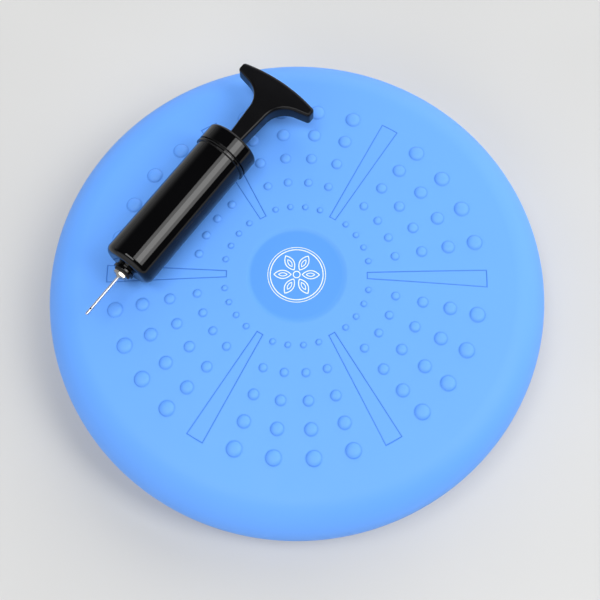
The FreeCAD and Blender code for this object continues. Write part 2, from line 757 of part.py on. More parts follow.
def make_piston_screw():
    """The screw that holds the piston to the rod."""
    body = new_body("piston_screw")
    sketch = outline(body, "screw_outline", "XZ_Plane", [
        (0, "screw_head_start"),
        ("screw_head_radius - 0.4", "screw_head_start"),
        ("screw_head_radius", "screw_head_start + 0.4"),
        ("screw_head_radius", "screw_head_end"),
        ("screw_radius", "screw_head_end"),
        ("screw_radius", "screw_point"),
        ("0.2", "screw_end"),
        (0, "screw_end"),
    ])
    turned(body, "Revolution", "screw", sketch)
    recess = outline(body, "recess_outline", "XY_Plane", cross("screw_slot_length", "screw_slot"),
                     "screw_head_start")
    cut(body, lambda: pushed(body, "Pocket", "recess", recess, "screw_slot_depth", backwards=True))
    lay_on_cushion(body)


# Outlet valve

def make_outlet_spring():
    """The light spring that keeps the outlet valve shut."""
    body = new_body("outlet_spring")
    first = "retainer_end + press_gap + spring_wire"
    wire = circle(body, "wire_outline", "XZ_Plane", "spring_radius", first, "spring_wire")
    coil = body.newObject("PartDesign::AdditiveHelix", "coil")
    coil.Profile = wire
    coil.ReferenceAxis = (wire, ["V_Axis"])
    coil.Mode = "pitch-height-angle"
    bind(coil, "Pitch", "spring_pitch")
    bind(coil, "Height", f"spring_end - spring_wire - ({first})")
    wire.Visibility = False
    lay_on_cushion(body)


def make_outlet_valve():
    """The disc that lets air out through the nozzle and shuts when the plunger is drawn back."""
    body = new_body("outlet_valve")
    sketch = outline(body, "valve_outline", "XZ_Plane", [
        (0, "flap_pin_start"),
        ("flap_pin_radius - 0.2", "flap_pin_start"),
        ("flap_pin_radius", "flap_pin_start + 0.2"),
        ("flap_pin_radius", "flap_start"),
        ("flap_radius", "flap_start"),
        ("flap_radius", "flap_end"),
        (0, "flap_end"),
    ])
    turned(body, "Revolution", "valve", sketch)
    lay_on_cushion(body)


# Handle

def handle_corners():
    """Half of the handle's outline; every arc runs smoothly into the lines beside it."""
    lean = "(neck_taper * 1deg)"
    slope = "(arm_slope * 1deg)"
    neck_x = f"(neck_width / 2 + flare_radius * (1 - cos({lean})))"
    neck_y = f"(flare_start + flare_radius * sin({lean}))"
    flare_x = f"(neck_width / 2 + flare_radius * (1 - sin({slope})))"
    flare_y = f"(flare_start + flare_radius * cos({slope}))"
    tip_x = f"(handle_span / 2 - arm_tip_radius * (1 - sin({slope})))"
    tip_y = f"({flare_y} + ({tip_x} - {flare_x}) * tan({slope}))"
    top_x = "(handle_span / 2 - arm_top_radius)"
    ball = "(handle_crown - arm_top_radius)"
    top_rise = f"sqrt({ball} * {ball} - {top_x} * {top_x})"
    top_y = "(handle_end - handle_crown"
    return [
        (0, "handle_start"),
        (f"{neck_x} - ({neck_y} - handle_start) * tan({lean})", "handle_start"),
        (neck_x, neck_y, "flare_radius", -1),
        (flare_x, flare_y),
        (tip_x, tip_y, "arm_tip_radius", 1),
        ("handle_span / 2", f"{tip_y} + arm_tip_radius * cos({slope})"),
        ("handle_span / 2", f"{top_y} + {top_rise})", "arm_top_radius", 1),
        (f"{top_x} * handle_crown / {ball}", f"{top_y} + {top_rise} * handle_crown / {ball})",
         "handle_crown", 1),
        (0, "handle_end"),
    ]


def make_handle():
    """The flat T-shaped handle: half of it is drawn, then mirrored, and its edges are rounded."""
    body = new_body("t_handle")
    sketch = outline(body, "handle_outline", "XZ_Plane", handle_corners())
    pushed(body, "Pad", "half_handle", sketch, "handle_thickness", midplane=True)
    doc.recompute()
    mirror = body.newObject("PartDesign::Mirrored", "whole_handle")
    mirror.Originals = [body.Tip]
    mirror.MirrorPlane = (next(f for f in body.Origin.OriginFeatures if f.Role == "YZ_Plane"), [""])
    body.Tip = mirror
    round_edges(body, "handle_round", "Fillet", "handle_edge", on_handle_face)
    socket = outline(body, "socket_outline", "XY_Plane",
                     cross("rod_width + 2 * press_gap", "rod_web + 2 * press_gap"), "handle_start")
    cut(body, lambda: pushed(body, "Pocket", "rod_socket", socket,
                             "handle_socket_end - handle_start", backwards=True))
    lay_on_cushion(body)


def on_handle_face(edge):
    """Whether the edge borders one of the handle's two flat faces, but isn't its foot."""
    box = edge.BoundBox
    half = value("handle_thickness") / 2
    flat = box.YLength < 1e-4 and abs(abs(box.YMin) - half) < 1e-4
    return flat and box.ZMax > value("handle_start") + 1e-3


# All of it

def make_all():
    fill_sheet()
    make_envelope()
    make_valve_socket()
    make_valve_core()
    make_needle_tube()
    make_needle_base()
    ring("needle_gasket", "stem_radius + gasket_gap", "gasket_radius",
         "hex_end + gasket_gap", "nozzle_start - gasket_gap")
    make_barrel()
    make_collar()
    make_rod_guide()
    make_rod()
    make_piston()
    make_piston_seal()
    make_piston_screw()
    ring("bumper_ring", "bumper_bore", "bumper_radius", "piston_end + press_gap", "bumper_end")
    ring("spring_retainer", "retainer_hole", "chamber_radius - press_gap",
         "thread_end + press_gap", "retainer_end")
    make_outlet_spring()
    make_outlet_valve()
    make_handle()
    doc.recompute()


def check_all():
    for thing in doc.Objects:
        if "Invalid" in thing.State or "Error" in thing.State:
            raise RuntimeError(f"{thing.Name} failed: {thing.State}")
        if thing.TypeId == "Sketcher::SketchObject" and not thing.FullyConstrained:
            raise RuntimeError(f"{thing.Name} is not fully constrained")
    for piece in pieces:
        shape = piece.Shape
        if shape.isNull() or not shape.isValid():
            raise RuntimeError(f"{piece.Label} has no valid shape")
        if len(shape.Solids) != 1:
            raise RuntimeError(f"{piece.Label} is {len(shape.Solids)} solids")


def write_all():
    os.makedirs("parts", exist_ok=True)
    for piece in pieces:
        piece.Shape.exportStep(f"parts/{piece.Label}.step")


make_all()
check_all()
write_all()
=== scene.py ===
import math

import bmesh
import bpy
import numpy as np
from mathutils import Matrix, Vector


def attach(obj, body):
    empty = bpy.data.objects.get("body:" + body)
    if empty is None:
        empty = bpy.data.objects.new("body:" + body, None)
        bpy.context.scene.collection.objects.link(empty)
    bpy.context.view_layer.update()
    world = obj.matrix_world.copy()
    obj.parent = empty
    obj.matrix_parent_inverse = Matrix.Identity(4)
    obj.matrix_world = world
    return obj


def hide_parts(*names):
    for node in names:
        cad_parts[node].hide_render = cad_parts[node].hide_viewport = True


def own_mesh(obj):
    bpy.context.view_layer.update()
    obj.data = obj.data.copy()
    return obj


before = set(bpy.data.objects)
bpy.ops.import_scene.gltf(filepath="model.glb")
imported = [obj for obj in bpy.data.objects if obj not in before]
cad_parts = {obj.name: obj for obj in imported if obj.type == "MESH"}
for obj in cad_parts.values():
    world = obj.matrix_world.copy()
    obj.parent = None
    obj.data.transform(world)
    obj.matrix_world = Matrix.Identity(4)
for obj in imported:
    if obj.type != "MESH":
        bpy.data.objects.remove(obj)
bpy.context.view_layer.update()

MM = 0.001

# Camera: focal length in units of the picture's width, and where it stands round the object
FOCAL = 1.6715
SENSOR = 36.0
DISTANCE = 704.1 * MM
TARGET = Vector((1.96, 2.15, -1.0)) * MM
AZIMUTH = math.radians(1.28)
ELEVATION = math.radians(72.45)
ROLL = math.radians(-0.47)

# Cushion, millimetres: a shallow dome of radius CROWN above and below, and a rim rounded to radius RIM
CROWN = 2170.0
TOP = 60.5
MIDDLE = 30.0
HALF = 165.0
WALL = 3.2
RISE = TOP - MIDDLE
RIM = (2 * CROWN * RISE - RISE ** 2 - HALF ** 2) / (2 * (CROWN - HALF))
RIM_REACH = HALF - RIM
DOME_CENTRE = TOP - CROWN
SHOULDER = RIM_REACH * CROWN / (CROWN - RIM)
DOME_EDGE = 130.0
BEAD_RISE = 0.16
BEAD_WIDTH = 0.5

# The sunk disc in the middle of the top, half the width of the slope round it, and where its colour fades
DISC = 31.4
DISC_DEPTH = 0.45
DISC_SLOPE = 1.7
DISC_FADE_START = DISC - 2.6
DISC_FADE_END = DISC + 1.6

# The valve's hole in the underside, and the boss round it inside
VALVE = (-112.0, 0.0)
VALVE_HOLE = 6.03
VALVE_LIP = 0.12
BOSS_RADIUS = 11.0
BOSS_TOP = 8.5

# Nubs: five rows in six sectors; the two inner rows are left off the sole
SECTORS = 6
SECTOR = 60.0
COLUMNS = (12.0, 24.0, 36.0, 48.0)
NUB_RADII = [47.1 + 17.8 * i for i in range(5)]
NUB_WIDTHS = [1.95 + 0.77 * i for i in range(5)]
NUB_RISES = [0.9 + 0.2 * i for i in range(5)]
SOLE_ROWS = (2, 3, 4)
SOLE_RISES = [0.0, 0.0, 0.7, 1.3, 1.9]
NUB_REACH = 1.6
NUB_EDGE = 0.12
DITCH_DEPTH = 0.10
DITCH_WIDTH = 0.34
# Width of the painted shade in the crease round each nub's foot
CREASE_SHADE_WIDTH = 0.42

# Panels between the sectors, each inside a fine moulded line
PANEL_START = 45.4
PANEL_END = 122.7
PANEL_HALF_ANGLE = 2.65
PANEL_DEPTH = 0.08
LINE_WIDTH = 0.32
LINE_DEPTH = 0.34

# How finely the cushion's mesh is divided: spokes of the plain parts
OUTER_SPOKES = 240
INNER_SPOKES = 120
VALVE_SPOKES = 72

# Spokes across one sector, in degrees: close together near the panels' sides and in the nubs' columns
SIDE_HALF = 0.7
SIDE_STEP = 0.14
COLUMN_HALF = 3.45
COLUMN_STEP = 0.3
WIDEST_ANGLE = 1.3

# Rings across the nubs: close together in the nubs' rows and near the panels' ends
ROW_MARGIN = 0.9
ROW_STEP = 0.48
END_HALF = 0.8
END_STEP = 0.16
WIDEST_GAP = 3.2
NARROWEST_GAP = 0.1

# Emblem: each ring's radius, number of points and line width; each petal's start, end, width and line width
EMBLEM_RINGS = ((2.2, 36, 0.6), (17.0, 144, 0.6), (18.6, 144, 0.4))
EMBLEM_PETALS = ((3.6, 14.6, 5.6, 0.6), (6.2, 11.6, 2.2, 0.5))
INK_LOW = -0.06
INK_HIGH = 0.05

# Pump: the needle's tip, the direction from it to the handle, the direction to the left of that, and up
TIP = Vector((-129.3, -34.0, 77.85))
HEADING = math.radians(53.6)
ALONG = Vector((math.cos(HEADING), math.sin(HEADING), 0.0))
ACROSS = Vector((-math.sin(HEADING), math.cos(HEADING), 0.0))
UP = Vector((0.0, 0.0, 1.0))

# Barrel, millimetres along the pump from the needle's tip, and radii
NOZZLE_START = 34.7
FLANGE_END = 36.7
FLANGE_RADIUS = 7.2
NECK_START = 37.2
NECK_RADIUS = 6.3
NOZZLE_BORE = 4.0
BARREL_START = 38.4
BARREL_FLOOR = 45.0
BARREL_END = 142.3
BARREL_RADIUS = 17.5
BARREL_BORE = 16.0
BAND_START = 131.3
BAND_END = 133.4
BAND_RADIUS = 18.7
MOUTH_RADIUS = 17.3

# The housing on the barrel's floor, with a port into the chamber that holds the outlet valve and its spring
HOUSING_END = 53.0
HOUSING_RADIUS = 6.5
PORT_RADIUS = 1.3
CHAMBER_START = 43.8
CHAMBER_ROOF = 51.2
CHAMBER_RADIUS = 3.4

# Collar
COLLAR_START = 134.3
COLLAR_ROOF = 143.5
COLLAR_END = 146.3
COLLAR_RADIUS = 18.6
COLLAR_BORE = 17.4
COLLAR_HOLE = 6.4

# Handle: a T whose neck flares into its arms, under a top of radius HANDLE_CROWN; its outline starts
# inside the collar, at HANDLE_START, and is cut off at HANDLE_FOOT
HANDLE_START = 142.6
HANDLE_FOOT = 146.6
HANDLE_END = 199.1
HANDLE_SPAN = 29.3
HANDLE_CROWN = 114.0
HANDLE_LEAN = math.radians(4.0)
HANDLE_SLOPE = math.radians(13.0)
HANDLE_NECK = 6.75
HANDLE_FLARE = 16.0
FLARE_START = 171.2
ARM_LOW_ROUND = 2.2
ARM_HIGH_ROUND = 2.4
HANDLE_THICKNESS = 12.0
HANDLE_EDGE = 2.0

# Needle: its eye's distance from the tip, how far the painted shade in the bore under it reaches from the
# axis, and its colour
NEEDLE_EYE = 4.5
BORE_REACH = 0.92
BORE_FADE = 0.98
BORE_SHADE = (0.004, 0.004, 0.005)

# Sky: its brightness, the side where it is brightest, the ends of a dark band across it over the pump, a
# glow low on the pump's left, and the backdrop that the camera sees in place of all these
SKY = 1.75
BRIGHT_SIDE = Vector((0.3, 0.3, 0.9)).normalized()
DIM_SIDE = 0.72
DARK_FRONT = (0.43, 0.62)
DARK_BACK = (-0.5, -0.8)
DARK_LEVEL = 0.02
GLOW_START = 0.5
GLOW_END = 0.97
BACKDROP = 0.66

# Soft boxes over the pump: how they lean, how far off they hang, sides in metres and power in watts
PUMP_PLACE = Vector((-0.08, 0.035, 0.08))
LIGHT_REACH = 3.0
STRIP_LEAN = 0.2325
STRIP_TURN = math.radians(37.6)
STRIP_SHIFT = 0.03
STRIP = ((0.88, 2.65), 30.0)
STRIP_CORE = ((0.88, 1.1), 12.0)
CORE_GAP = 0.02
OVERHEAD_LEAN = -0.2
OVERHEAD = ((1.0, 2.2), 43.0)

# Floor: half its side, and the gap that keeps it off the sole
FLOOR_HALF = 25.0
FLOOR_GAP = 0.0002


# Camera, light and floor

def make_camera():
    back = Vector((math.sin(AZIMUTH) * math.cos(ELEVATION), -math.cos(AZIMUTH) * math.cos(ELEVATION),
                   math.sin(ELEVATION)))
    right = Vector((math.cos(AZIMUTH), math.sin(AZIMUTH), 0.0))
    up = back.cross(right)
    rolled_right = right * math.cos(ROLL) + up * math.sin(ROLL)
    rolled_up = up * math.cos(ROLL) - right * math.sin(ROLL)
    data = bpy.data.cameras.new("camera")
    data.sensor_width = SENSOR
    data.lens = FOCAL * SENSOR
    data.clip_end = 20.0
    camera = bpy.data.objects.new("camera", data)
    bpy.context.collection.objects.link(camera)
    turn = Matrix((rolled_right, rolled_up, back)).transposed().to_4x4()
    camera.matrix_world = Matrix.Translation(TARGET + back * DISTANCE) @ turn
    bpy.context.scene.camera = camera


def area_light(name, place, size, power):
    """A rectangular light at place that faces the pump, with its first side laid along the pump."""
    data = bpy.data.lights.new(name, "AREA")
    data.shape = "RECTANGLE"
    data.size, data.size_y = size
    data.energy = power
    lamp = bpy.data.objects.new(name, data)
    bpy.context.collection.objects.link(lamp)
    back = (place - PUMP_PLACE).normalized()
    side = (ALONG - back * ALONG.dot(back)).normalized()
    turn = Matrix((side, back.cross(side), back)).transposed().to_4x4()
    lamp.matrix_world = Matrix.Translation(place) @ turn


def make_sky():
    """Soft light from all round, with a dark band over the pump for the polished black to mirror.

    Behind the floor the camera sees a plain pale backdrop instead.
    """
    world = bpy.data.worlds.new("studio")
    bpy.context.scene.world = world
    world.use_nodes = True
    tree = world.node_tree

    def add(kind, **settings):
        made = tree.nodes.new(kind)
        for key, setting in settings.items():
            setattr(made, key, setting)
        return made

    place = add("ShaderNodeTexCoord").outputs["Generated"]

    def towards(direction):
        made = add("ShaderNodeVectorMath", operation="DOT_PRODUCT")
        tree.links.new(place, made.inputs[0])
        made.inputs[1].default_value = direction
        return made.outputs["Value"]

    def math_node(operation, first, second):
        made = add("ShaderNodeMath", operation=operation)
        for socket, source in zip(made.inputs, (first, second)):
            if isinstance(source, float):
                socket.default_value = source
            else:
                tree.links.new(source, socket)
        return made.outputs[0]

    def spread(source, low, high, out_low, out_high, how="SMOOTHSTEP"):
        made = add("ShaderNodeMapRange", interpolation_type=how)
        for key, number in (("From Min", low), ("From Max", high), ("To Min", out_low), ("To Max", out_high)):
            made.inputs[key].default_value = number
        tree.links.new(source, made.inputs["Value"])
        return made.outputs["Result"]

    lean = towards(ALONG)
    front = spread(lean, *DARK_FRONT, DARK_LEVEL, 1.0)
    band = math_node("MAXIMUM", front, spread(lean, *DARK_BACK, DARK_LEVEL, 1.0))
    glow = math_node("POWER", spread(towards(ACROSS), GLOW_START, GLOW_END, 0.0, 0.95, "LINEAR"), 6.0)
    fall = spread(towards(BRIGHT_SIDE), -0.2, 0.8, SKY * DIM_SIDE, SKY)
    backdrop = tree.nodes["Background"]
    backdrop.inputs["Color"].default_value = (0.985, 0.985, 1.0, 1.0)
    light = math_node("MAXIMUM", math_node("MULTIPLY", band, fall), glow)
    seen = add("ShaderNodeLightPath").outputs["Is Camera Ray"]
    unseen = math_node("SUBTRACT", 1.0, seen)
    strength = math_node("ADD", math_node("MULTIPLY", light, unseen), math_node("MULTIPLY", seen, BACKDROP))
    tree.links.new(strength, backdrop.inputs["Strength"])


def make_light():
    """The sky, a long soft box beside the pump with a brighter middle, and another overhead."""
    make_sky()
    upright = math.sqrt(1 - STRIP_LEAN ** 2)
    beside = (ALONG * STRIP_LEAN - ACROSS * upright * math.sin(STRIP_TURN)
              + UP * upright * math.cos(STRIP_TURN))
    middle = PUMP_PLACE + beside * LIGHT_REACH + ALONG * STRIP_SHIFT
    area_light("strip", middle, *STRIP)
    area_light("strip_core", middle - beside * CORE_GAP, *STRIP_CORE)
    above = ALONG * OVERHEAD_LEAN + UP * math.sqrt(1 - OVERHEAD_LEAN ** 2)
    area_light("overhead", PUMP_PLACE + above * LIGHT_REACH, *OVERHEAD)
    bpy.context.scene.view_settings.view_transform = "Standard"


def make_floor():
    """A wide sheet of pale paper, lighter far away."""
    mesh = bpy.data.meshes.new("floor")
    corners = [Vector((x, y, 0.0)) * FLOOR_HALF for x, y in ((-1, -1), (1, -1), (1, 1), (-1, 1))]
    mesh.from_pydata(corners, [], [(0, 1, 2, 3)])
    floor = bpy.data.objects.new("floor", mesh)
    bpy.context.collection.objects.link(floor)
    floor.location.z = -FLOOR_GAP
    sheet = Material("floor_paper", (0.63, 0.63, 0.62), 0.9, Specular_IOR_Level=0.0)
    sheet.vary_colour(4.0, 0.02)
    sheet.mix_colour(sheet.from_point((0.0, 0.0, 0.0), 0.7, 3.0, 0.0, 1.0), (0.93, 0.93, 0.93))
    mesh.materials.append(sheet.made)


# Materials

class Material:
    """A Principled material with a few ways of adding detail in the object's own coordinates."""

    def __init__(self, name, colour, roughness, **settings):
        self.made = bpy.data.materials.new(name)
        self.made.use_nodes = True
        self.tree = self.made.node_tree
        self.shader = self.tree.nodes["Principled BSDF"]
        self.colour = (*colour, 1.0)
        self.shader.inputs["Base Color"].default_value = self.colour
        self.shader.inputs["Roughness"].default_value = roughness
        self.roughness = roughness
        for key, number in settings.items():
            self.shader.inputs[key.replace("_", " ")].default_value = number
        self.place = self.node("ShaderNodeTexCoord").outputs["Object"]
        self.tint = None
        self.height = None

    def node(self, kind, **settings):
        made = self.tree.nodes.new(kind)
        for key, number in settings.items():
            setattr(made, key, number)
        return made

    def link(self, source, target):
        self.tree.links.new(source, target)

    def noise(self, scale, detail):
        noise = self.node("ShaderNodeTexNoise")
        noise.inputs["Scale"].default_value = scale
        noise.inputs["Detail"].default_value = detail
        self.link(self.place, noise.inputs["Vector"])
        return noise.outputs["Fac"]

    def spread(self, source, low, high, out_low, out_high):
        ramp = self.node("ShaderNodeMapRange", clamp=True)
        for key, number in (("From Min", low), ("From Max", high), ("To Min", out_low), ("To Max", out_high)):
            ramp.inputs[key].default_value = number
        self.link(source, ramp.inputs["Value"])
        return ramp.outputs["Result"]

    def from_point(self, point, low, high, out_low, out_high):
        """Spreads the distance from a point."""
        away = self.node("ShaderNodeVectorMath", operation="DISTANCE")
        away.inputs[1].default_value = point
        self.link(self.place, away.inputs[0])
        return self.spread(away.outputs["Value"], low, high, out_low, out_high)

    def mix_colour(self, factor, colour):
        """Mixes colour over what the base colour is so far."""
        mix = self.node("ShaderNodeMix", data_type="RGBA")
        mix.inputs[6].default_value = self.colour
        if self.tint is not None:
            self.link(self.tint, mix.inputs[6])
        mix.inputs[7].default_value = (*colour, 1.0)
        self.link(factor, mix.inputs[0])
        self.tint = mix.outputs[2]
        self.link(self.tint, self.shader.inputs["Base Color"])

    def vary_colour(self, scale, amount):
        """Slow light and dark patches."""
        factor = self.spread(self.noise(scale, 2.0), 0.35, 0.65, 0.0, 1.0)
        darker = tuple(max(0.0, c * (1 - amount * 2)) for c in self.colour[:3])
        self.mix_colour(factor, darker)

    def vary_roughness(self, scale, amount):
        low, high = self.roughness - amount, self.roughness + amount
        factor = self.spread(self.noise(scale, 4.0), 0.3, 0.7, low, high)
        self.link(factor, self.shader.inputs["Roughness"])

    def bump(self, scale, strength, distance):
        """Fine relief; each call adds to the one before."""
        bump = self.node("ShaderNodeBump")
        bump.inputs["Strength"].default_value = strength
        bump.inputs["Distance"].default_value = distance
        self.link(self.noise(scale, 3.0), bump.inputs["Height"])
        if self.height is not None:
            self.link(self.height, bump.inputs["Normal"])
        self.height = bump.outputs["Normal"]
        self.link(self.height, self.shader.inputs["Normal"])


def vinyl():
    """Soft sky-blue vinyl: a deeper blue disc in the middle, and painted shade in the creases and lines round
    what is moulded in.
    """
    made = Material("blue_vinyl", (0.13, 0.375, 0.98), 0.5, Specular_IOR_Level=0.3)
    made.vary_colour(9.0, 0.012)
    disc = made.from_point((0.0, 0.0, TOP * MM), DISC_FADE_START * MM, DISC_FADE_END * MM, 1.0, 0.0)
    made.mix_colour(disc, (0.088, 0.312, 0.98))
    # Painted shade: each point's stored darkness darkens the creases, the panels' lines and, a little, the
    # sunk panels
    crease_shade = made.node("ShaderNodeAttribute", attribute_name="crease_shade")
    made.mix_colour(crease_shade.outputs["Fac"], (0.03, 0.165, 0.62))
    made.vary_roughness(60.0, 0.03)
    made.bump(1400.0, 0.05, 0.0002)
    made.bump(260.0, 0.03, 0.0004)
    return made.made


def black_gloss():
    made = Material("polished_black_plastic", (0.0019, 0.0019, 0.0022), 0.055, Specular_IOR_Level=0.3)
    made.vary_roughness(35.0, 0.015)
    made.vary_colour(20.0, 0.1)
    made.bump(300.0, 0.01, 0.0002)
    return made.made


def black_satin():
    made = Material("satin_black_plastic", (0.005, 0.005, 0.0057), 0.22, Specular_IOR_Level=0.15)
    made.vary_roughness(50.0, 0.04)
    made.vary_colour(30.0, 0.1)
    made.bump(1800.0, 0.06, 0.0001)
    return made.made


def rubber(name, colour):
    made = Material(name, colour, 0.7)
    made.vary_colour(80.0, 0.08)
    made.vary_roughness(90.0, 0.05)
    made.bump(1500.0, 0.1, 0.0001)
    return made.made


def plain_plastic(name, colour, roughness):
    made = Material(name, colour, roughness)
    made.vary_colour(45.0, 0.04)
    made.vary_roughness(70.0, 0.04)
    made.bump(1500.0, 0.05, 0.0001)
    return made.made


def metal(name, colour, roughness, bore=None):
    """Smooth metal; bore is a point inside the piece, and what lies round it gets painted shade, dark as a
    hollow.
    """
    made = Material(name, colour, roughness, Metallic=1.0)
    made.vary_colour(120.0, 0.05)
    if bore is not None:
        # Painted shade in the bore round that point
        made.mix_colour(made.from_point(bore, BORE_REACH * MM, BORE_FADE * MM, 1.0, 0.0), BORE_SHADE)
    made.vary_roughness(400.0, 0.03)
    made.bump(2500.0, 0.004, 0.00001)
    return made.made


# Mesh helpers

def add_object(name, mesh, material, body):
    """An object that rides on a body, with smooth shading and one material."""
    piece = bpy.data.objects.new(name, mesh)
    bpy.context.collection.objects.link(piece)
    mesh.materials.append(material)
    mesh.shade_smooth()
    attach(piece, body)
    return piece


def rotated(vector, angle):
    cos, sin = math.cos(angle), math.sin(angle)
    return Vector((vector.x * cos - vector.y * sin, vector.x * sin + vector.y * cos))


def rounded(corners):
    """A closed profile with each corner rounded, from (x, y, radius).

    A support point on each side of an arc keeps the smooth shading inside the arc.
    """
    out = []
    count = len(corners)
    for i, (x, y, radius) in enumerate(corners):
        here = Vector((x, y))
        before = Vector(corners[i - 1][:2]) - here
        after = Vector(corners[(i + 1) % count][:2]) - here
        turn = before.angle(after)
        reach = min(radius / math.tan(turn / 2), before.length * 0.45, after.length * 0.45)
        true_radius = reach * math.tan(turn / 2)
        first = here + before.normalized() * reach
        last = here + after.normalized() * reach
        middle = (before.normalized() + after.normalized()).normalized()
        centre = here + middle * (true_radius / math.sin(turn / 2))
        slack_in = min(reach * 0.5, before.length * 0.05)
        slack_out = min(reach * 0.5, after.length * 0.05)
        out.append(first + before.normalized() * slack_in)
        start, end = first - centre, last - centre
        sweep = start.angle_signed(end)
        steps = 5 + int(2.5 * true_radius)
        for k in range(steps + 1):
            out.append(centre + rotated(start, -sweep * k / steps))
        out.append(last + after.normalized() * slack_out)
    return out


def on_pump(x, y, along):
    """A point of the pump's own frame, in the row frame and in metres."""
    return (TIP + ACROSS * x + UP * y + ALONG * along) * MM


def lathe(name, profile, segments=128):
    """A closed profile of (radius, distance along the pump) turned round the pump's axis."""
    rings = []
    for radius, along in profile:
        ring = []
        for k in range(segments):
            angle = 2 * math.pi * k / segments
            ring.append(on_pump(radius * math.cos(angle), radius * math.sin(angle), along))
        rings.append(ring)
    verts = [p for ring in rings for p in ring]
    faces = []
    count = len(rings)
    for i in range(count):
        for k in range(segments):
            a, b = i * segments + k, i * segments + (k + 1) % segments
            c, d = ((i + 1) % count) * segments + (k + 1) % segments, ((i + 1) % count) * segments + k
            faces.append((a, b, c, d))
    mesh = bpy.data.meshes.new(name)
    mesh.from_pydata(verts, [], faces)
    outward(mesh)
    return mesh


def outward(mesh):
    """Turns all faces outward."""
    bm = bmesh.new()
    bm.from_mesh(mesh)
    bmesh.ops.recalc_face_normals(bm, faces=bm.faces)
    bm.to_mesh(mesh)
    bm.free()
    mesh.update()


# Cushion

def smooth_step(value, low, high):
    t = np.clip((value - low) / (high - low), 0.0, 1.0)
    return t * t * (3 - 2 * t)


def dome(radius):
    return DOME_CENTRE + np.sqrt(CROWN ** 2 - radius ** 2)


def dome_floor(radius=0.0):
    """Height of the sunk disc."""
    return float(dome(radius)) - DISC_DEPTH


def inner_dome(radius):
    return DOME_CENTRE + math.sqrt((CROWN - WALL) ** 2 - radius ** 2)


def sole(radius):
    """Height of the underside's dome."""
    return float(2 * MIDDLE - dome(radius))


def inner_sole(radius):
    return 2 * MIDDLE - inner_dome(radius)


def filled(values, widest, narrowest=0.0):
    """The sorted values, without those too near the one before, and with even steps in wide gaps."""
    out = [values[0]]
    for value in values[1:]:
        gap = value - out[-1]
        if gap < narrowest:
            continue
        extra = int(gap / widest)
        out += [out[-1] + gap * k / (extra + 1) for k in range(1, extra + 1)]
        out.append(value)
    return out


def sector_angles(fine):
    """Angles of the mesh's spokes across one sector, in degrees, close together where there is detail."""
    side = PANEL_HALF_ANGLE
    sides = list(np.arange(side - SIDE_HALF, side + SIDE_HALF + 0.01, SIDE_STEP * fine))
    inside = 0.45 * side
    angles = [0.0, inside, SECTOR - inside] + sides + [SECTOR - angle for angle in sides]
    for column in COLUMNS:
        angles += list(np.arange(column - COLUMN_HALF, column + COLUMN_HALF + 0.01, COLUMN_STEP * fine))
    return np.array(filled(sorted(angles) + [SECTOR], WIDEST_ANGLE)[:-1])


def ring_radii(rows, fine, panels):
    """Radii of the mesh's rings across the nubs."""
    radii = [38.0, 40.5, 43.0, 127.5]
    for row in rows:
        half = NUB_WIDTHS[row] + ROW_MARGIN
        radii += list(np.arange(NUB_RADII[row] - half, NUB_RADII[row] + half, ROW_STEP * fine))
    if panels:
        for end in (PANEL_START, PANEL_END):
            radii += list(np.arange(end - END_HALF, end + END_HALF + 0.01, END_STEP))
    return np.array(filled(sorted(radii), WIDEST_GAP, NARROWEST_GAP))


def nub_relief(x, y, rises):
    """Height of the nubs, and the painted shade in the crease round each, at points x, y."""
    height = np.zeros_like(x)
    crease_shade = np.zeros_like(x)
    for radius, width, rise in zip(NUB_RADII, NUB_WIDTHS, rises):
        if rise == 0.0:
            continue
        for sector in range(SECTORS):
            for column in COLUMNS:
                angle = math.radians(SECTOR * sector + column)
                gap = np.hypot(x - radius * math.cos(angle), y - radius * math.sin(angle))
                near = gap < width + NUB_REACH
                t = np.clip(gap[near] / width, 0.0, 1.0)
                cap = rise * (1 - t ** 2.8) ** 0.8
                ditch = -DITCH_DEPTH * np.exp(-((gap[near] - width - NUB_EDGE) / DITCH_WIDTH) ** 2)
                height[near] = cap + ditch
                # Painted shade in the crease just inside the nub's foot
                crease_shade[near] = np.exp(-((gap[near] - width + NUB_EDGE) / CREASE_SHADE_WIDTH) ** 2)
    return height, crease_shade


def panel_relief(radius, angle):
    """Depth of the panels, the painted shade of their outlines, and how far inside a panel each point lies.
    """
    off = (np.degrees(angle) + SECTOR / 2) % SECTOR - SECTOR / 2
    side = radius * np.radians(np.abs(off) - PANEL_HALF_ANGLE)
    out = np.maximum.reduce([side, PANEL_START - radius, radius - PANEL_END])
    inside = 1.0 - smooth_step(out, -0.35, 0.05)
    line = np.exp(-(out / LINE_WIDTH) ** 2)
    return -PANEL_DEPTH * inside - LINE_DEPTH * line, line, inside


def top_surface(radius, angle):
    """Heights of the top, and how much painted shade its creases, lines and sunk panels get."""
    x, y = radius * np.cos(angle), radius * np.sin(angle)
    height, crease_shade = nub_relief(x, y, NUB_RISES)
    depth, line, inside = panel_relief(radius, angle)
    sunk = -DISC_DEPTH * (1.0 - smooth_step(radius, DISC - DISC_SLOPE, DISC + DISC_SLOPE))
    z = dome(radius) + height + depth + sunk
    # Painted shade: creases and panel lines darkened most, the sunk panels a little
    return z, np.clip(0.5 * crease_shade + 1.0 * line + 0.02 * inside, 0.0, 1.0)


def under_surface(radius, angle):
    """Heights of the sole, flat in the middle, and how much painted shade its creases get."""
    x, y = radius * np.cos(angle), radius * np.sin(angle)
    height, crease_shade = nub_relief(x, y, SOLE_RISES)
    z = np.maximum(2 * MIDDLE - dome(radius), 0.0) - height
    # Painted shade in the creases round the sole's nubs
    return z, 0.6 * crease_shade


